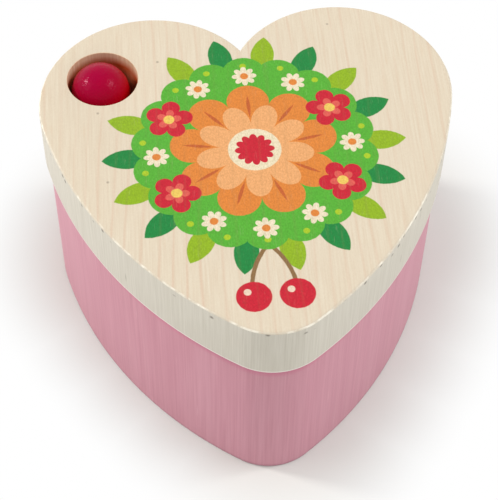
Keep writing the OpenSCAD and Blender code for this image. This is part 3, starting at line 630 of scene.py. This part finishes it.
# %% [markdown]
# ## The heart as a mesh
#
# Lid and body are sawn from blocks in the shape of the heart. Its outline could be typed in
# as a list of points. Turning one point about the centres of the three arcs with `spin`
# gives the same curve, exact and even, and a mirror makes the other half. The flat face is
# then extruded, and a bevel rounds its edges.
# %% The outline as a mesh
same_spot = 1e-5


def verts_of(geometry):
    """The vertices among what an operator gives back."""
    return [v for v in geometry if isinstance(v, bmesh.types.BMVert)]


def heart(bm, inset, z):
    """A flat heart face at height z, set in by an even distance. Lengths are in millimetres."""
    reach = lobe_r - inset
    if inset < 1:  # the lobes still meet in a sharp notch on the middle line
        cleft = lobe.y + math.sqrt(reach ** 2 - lobe.x ** 2)
    else:  # they don't, and a short straight edge joins them
        cleft = lobe.y + math.sqrt(lobe_r ** 2 - lobe.x ** 2) - inset
    start = math.pi - math.asin(min(1, (cleft - lobe.y) / reach))
    start_x = lobe.x + reach * math.cos(start)
    notch = last = bm.verts.new((0, cleft, z))
    if start_x > 0.01:
        last = bm.verts.new((start_x, cleft, z))
        bm.edges.new((notch, last))
    turns = ((lobe, lobe_end - start, 72), (side, tip_start - lobe_end, 30),
             (tip, -math.pi / 2 - tip_start, 26))
    for centre, angle, steps in turns:
        made = bmesh.ops.spin(bm, geom=[last], cent=(*centre, z), axis=(0, 0, 1), dvec=(0, 0, 0),
                              angle=angle, steps=steps, use_duplicate=False)
        last = verts_of(made["geom_last"])[0]
    last.co.x = 0
    bmesh.ops.mirror(bm, geom=bm.verts[:] + bm.edges[:], matrix=Matrix.Identity(4),
                     merge_dist=same_spot, axis="X")
    bmesh.ops.remove_doubles(bm, verts=bm.verts[:], dist=same_spot)
    return bmesh.ops.contextual_create(bm, geom=bm.edges[:])["faces"][0]


print("the heart starts and ends on the middle line")

# %% Blocks and pieces
sharp_angle = math.radians(35)


def block(inset, low, high, soft_top=0.0, soft_low=0.0):
    """A heart-shaped block, its upper and lower edges rounded."""
    bm = bmesh.new()
    face = heart(bm, inset, low)
    made = bmesh.ops.extrude_face_region(bm, geom=[face], use_keep_orig=True)
    bmesh.ops.translate(bm, verts=verts_of(made["geom"]), vec=(0, 0, high - low))
    bmesh.ops.recalc_face_normals(bm, faces=bm.faces[:])
    for z, soft in ((high, soft_top), (low, soft_low)):
        if soft:
            rim = [e for e in bm.edges if all(abs(v.co.z - z) < 1e-6 for v in e.verts)]
            bmesh.ops.bevel(bm, geom=rim, offset=soft, offset_type="OFFSET", segments=5, profile=0.5,
                            affect="EDGES", material=-1, clamp_overlap=False)
    return bm


def smoothed(mesh):
    """Shades a mesh smooth but for its sharp edges."""
    mesh.shade_smooth()
    mesh.set_sharp_from_angle(angle=sharp_angle)


def piece(bm, name, *materials):
    """Turns a bmesh in millimetres into an object in metres."""
    bmesh.ops.scale(bm, verts=bm.verts[:], vec=(MM, MM, MM))
    mesh = bpy.data.meshes.new(name)
    bm.to_mesh(mesh)
    bm.free()
    made = bpy.data.objects.new(name, mesh)
    bpy.context.scene.collection.objects.link(made)
    for material in materials:
        mesh.materials.append(material)
    smoothed(mesh)
    return made


print("blocks and pieces can be made")

# %% [markdown]
# ## Holes
#
# A hole in wood is drilled after the block is shaped, and the same is done here: a cutter
# is turned on a lathe with `spin`, and a Boolean takes it out of the block. The cutter's
# flared rim leaves the small broken edge that a drill and sandpaper leave.
# %% Lathe and drill
def turned(profile, x, y, steps=96):
    """Turns a profile of (radius, height) pairs once about the upright line at x, y."""
    bm = bmesh.new()
    line = [bm.verts.new((r, 0, z)) for r, z in profile]
    edges = [bm.edges.new(pair) for pair in zip(line, line[1:])]
    bmesh.ops.spin(bm, geom=line + edges, cent=(0, 0, 0), axis=(0, 0, 1), dvec=(0, 0, 0),
                   angle=2 * math.pi, steps=steps, use_merge=True, use_duplicate=False)
    bmesh.ops.remove_doubles(bm, verts=bm.verts[:], dist=same_spot)
    bmesh.ops.recalc_face_normals(bm, faces=bm.faces[:])
    bmesh.ops.translate(bm, verts=bm.verts[:], vec=(x, y, 0))
    return bm


def drilled(work, *cutters):
    """Takes the cutters out of the work, and throws them away."""
    for cutter in cutters:
        cut = work.modifiers.new("cut", "BOOLEAN")
        cut.object = cutter
        cut.operation = "DIFFERENCE"
        cut.solver = "EXACT"
        cut.material_mode = "TRANSFER"
        result = bpy.data.meshes.new_from_object(work.evaluated_get(bpy.context.evaluated_depsgraph_get()))
        work.modifiers.remove(cut)
        old = work.data
        result.name = old.name
        work.data = result
        bpy.data.meshes.remove(old)
        bpy.data.objects.remove(cutter)
    smoothed(work.data)


print("lathe and drill are ready")

# %% [markdown]
# ## The lid
#
# One heart of solid wood, 11.6 mm thick, with the round recess for the ball drilled with a
# 12 mm bit near the left lobe. From below it is hollowed for the brass hub. It could be put
# together from a plate and walls, but a block that is drilled gets its holes as the real
# one does. The top takes the print, and the sides stay bare.
# %% Block of the lid
print_inset, printed_tilt = 0.3, 0.2
lid_bm = block(0, lid_low, lid_high, lid_round, lid_round)
top = max(lid_bm.faces, key=lambda f: f.calc_center_median().z)
bmesh.ops.inset_region(lid_bm, faces=[top], thickness=print_inset, use_even_offset=True)
for f in lid_bm.faces:
    f.material_index = 0 if f.normal.z > printed_tilt else 1
lid = piece(lid_bm, "lid_block", printed_top, lid_side)
print("lid block:", len(lid.data.polygons), "faces")

# %% Holes of the lid
recess_x, recess_y = -24.009, 20.519
ball_x, ball_z = -24.484, 40.25
recess = [(0.0, 35.1), (5.8, 35.1), (6.0, 35.3), (6.0, 43.35), (6.02, 43.44), (6.06, 43.49), (6.1, 43.51),
          (6.1, 45.0), (0.0, 45.0)]
hub_room = [(0.0, 31.0), (8.1, 31.0), (8.1, 33.1), (3.5, 33.1), (3.5, 39.1), (0.0, 39.1)]
screw_room = [(0.0, 31.0), (1.05, 31.0), (1.05, 36.0), (0.0, 36.0)]
drilled(lid, piece(turned(recess, recess_x, recess_y), "recess_cutter", recess_side),
        piece(turned(screw_room, ball_x, recess_y, 32), "screw_cutter", recess_side),
        piece(turned(hub_room, 0, 0), "hub_cutter", recess_side))
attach(lid, "lid")
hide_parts("lid")
print("lid:", len(lid.data.polygons), "faces")

# %% [markdown]
# ## The body
#
# A deep block of the same outline, 0.7 mm smaller all round, so that the lid stands a
# little proud of it. Its edges are sanded round. It could be left solid, as the movement
# never shows, but it is hollowed from below as with a router, with a step that takes the
# base cover, because the underside is looked at too.
# %% The body
below_foot, pocket_inset, ceiling, step_inset, step_high = -1, 5.5, 26.6, 2.5, 2.8
arbor_room = [(0.0, 20.0), (2.5, 20.0), (2.5, 33.0), (0.0, 33.0)]
body = piece(block(body_inset, 0, body_high, 0.6, 0.3), "body_block", pink_stain)
drilled(body, piece(block(pocket_inset, below_foot, ceiling), "pocket_cutter", pocket_stain),
        piece(block(step_inset, below_foot, step_high), "step_cutter", pocket_stain),
        piece(turned(arbor_room, 0, 0, 48), "arbor_cutter", pocket_stain))
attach(body, "case")
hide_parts("body_shell")
print("body:", len(body.data.polygons), "faces")

# %% [markdown]
# ## The red ball
#
# A wooden ball of 10 mm, dipped in lacquer. A sphere could be added in one call, but the
# real ball is turned and has a screw hole from below, so a half circle is spun about the
# upright line through its centre.
# %% Red lacquer
lacquer = Finish("red_lacquer", {"Specular IOR Level": 0.1, "Specular Tint": (1, 0.5, 0.68, 1)})
skin = lacquer.noise(lacquer.place(), 2.4, 3.0)
pimples = lacquer.noise(lacquer.place(), 0.42)
# Painted light: towards its top and left the ball is tinted purple, as cool reflected light would tint it.
cool_low, cool_rise, cool_right, cool_spread = 39.5, 6, -24.5, 16
rise = (height_of(lacquer) - cool_low) / cool_rise
painted_cool_light = (rise - (lacquer.axis(lacquer.place(), "X") - cool_right) / cool_spread).clamped()
red = lacquer.layers(paint("aa0003"), (painted_cool_light, "9c0033"), (skin.above(0.5, 2) * 0.3, "b0002a"),
                     (pimples.above(0.66, 5) * 0.25, "ba2446"))
lacquer.feed("Base Color", red)
lacquer.feed("Roughness", 0.1 + 0.08 * skin)
lacquer.bump(skin * 0.25 + pimples * 0.75, 0.1)
print("lacquer:", lacquer.material.name)

# %% The ball
ball_r, bore_r, steps = 5.05, 0.9, 40
bore_angle = math.asin(bore_r / ball_r)
angles = [(math.pi - bore_angle) * i / steps for i in range(steps + 1)]
curve = [(ball_r * math.sin(a), ball_z + ball_r * math.cos(a)) for a in angles]
bore_end = [(bore_r, ball_z - 0.05), (0.0, ball_z + 0.1)]
ball = piece(turned(curve + bore_end, ball_x, recess_y, 80), "red_ball", lacquer.material)
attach(ball, "ball")
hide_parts("finger_ball")
print("ball:", len(ball.data.polygons), "faces")

# %% [markdown]
# ## The base cover
#
# A thin board of birch plywood closes the pocket. Its face shows a soft wavy figure, where
# the veneer was peeled through the growth rings. A noise alone would look like a cloud, so
# rings that a slow noise bends are used, as on the lid. The CAD node has the right shape,
# so it only gets its finish.
# %% Plywood
def plywood(name):
    """A peeled veneer, with wavy bands and fine fibres along y."""
    wood = Finish(name, {"Specular IOR Level": 0.3})
    slow = wood.noise(wood.place((1, 0.1, 1)), 9)
    bands = (wood.axis(wood.place(), "X") * 0.16 + slow * 2.6).wave()
    fine = wood.noise(wood.place((1, 0.05, 1)), 0.3, 3.0)
    wood.feed("Base Color", wood.layers(paint("dcc094"), (bands.above(0.35, 1.8) * 0.7, "c69f6c"),
                                        (fine.above(0.4, 2) * 0.5, "e6d0aa")))
    wood.feed("Roughness", 0.55 + 0.2 * fine)
    wood.bump(fine, 0.04)
    return wood.material


birch = plywood("birch_ply")
print("plywood:", birch.name)

# %% [markdown]
# ## Metals and nylon
#
# The movement is made of turned brass, plain and blued steel, a zinc casting and a nylon
# fan. One even grey would look like plastic, so each metal gets the marks of its making:
# fine rings of turning on brass, a brushed grain on steel, and the pebbled skin of a
# casting on zinc. One function makes them all, because only their numbers differ.
# %% Metals
def metal(name, bright, dull, rough, grain_size, depth, stretch=(1, 1, 1)):
    """A metal that changes between two tones, with a grain of a given size and depth in millimetres."""
    work = Finish(name, {"Metallic": 1.0})
    film = work.noise(work.place(), 3.5, 4.0, 0.6)
    marks = work.noise(work.place(stretch), grain_size, 2.0, 0.6)
    work.feed("Base Color", work.layers(paint(bright), (film.above(0.35, 1.6) * 0.5, dull),
                                        (marks.above(0.6, 3) * 0.3, dull)))
    work.feed("Roughness", rough + 0.08 * film + 0.08 * marks)
    work.bump(marks, depth)
    return work.material


brass = metal("turned_brass", "d9b45e", "b98f3f", 0.24, 0.12, 0.006, (1, 1, 0.2))
steel = metal("satin_steel", "c9cacc", "a3a5a8", 0.3, 0.14, 0.006, (0.15, 1, 1))
blued = metal("spring_steel", "7f848e", "5a5f6a", 0.28, 0.15, 0.005, (1, 0.2, 1))
zinc = metal("cast_zinc", "b4b5b6", "8f9092", 0.44, 0.3, 0.02)
lead = metal("dull_lead", "75767b", "55565b", 0.6, 0.25, 0.02)
print("metals:", [m.name for m in (brass, steel, blued, zinc, lead)])

# %% Nylon
def moulded(name, pale, shade):
    """A matte plastic with a faint flow pattern."""
    work = Finish(name, {"Specular IOR Level": 0.45})
    flow = work.noise(work.place(), 2.2, 3.0)
    work.feed("Base Color", work.layers(paint(pale), (flow.above(0.4, 2), shade)))
    work.feed("Roughness", 0.42 + 0.16 * flow)
    work.bump(work.noise(work.place(), 0.25), 0.01)
    return work.material


nylon = moulded("white_nylon", "f0efe9", "dfded6")
print("plastic:", nylon.name)

# %% Finishes of the CAD nodes
finishes = {
    birch: ["base_cover"],
    brass: ["lid_hub", "great_wheel", "drive_pinion", "tune_cylinder", "cylinder_caps", "cylinder_gear",
            "intermediate_pinion", "worm_wheel"],
    steel: ["base_screws", "ball_screw", "hub_screws", "winding_arbor", "bedplate_screws", "spring_housing",
            "housing_cover", "housing_screws", "cylinder_arbor", "comb", "comb_screws", "end_bracket",
            "bracket_screws", "intermediate_arbor", "governor_worm"],
    blued: ["clutch_spring", "mainspring"],
    zinc: ["bedplate", "governor_frame"],
    lead: ["comb_weights"],
    nylon: ["governor_fan"],
    pink_stain: ["body_shell"],
    lid_side: ["lid"],
    lacquer.material: ["finger_ball"],
}
for material, names in finishes.items():
    for name in names:
        node_materials = frame["nodes"][name].data.materials
        node_materials.clear()
        node_materials.append(material)
print("finished nodes:", sum(len(names) for names in finishes.values()), "of", len(frame["nodes"]))
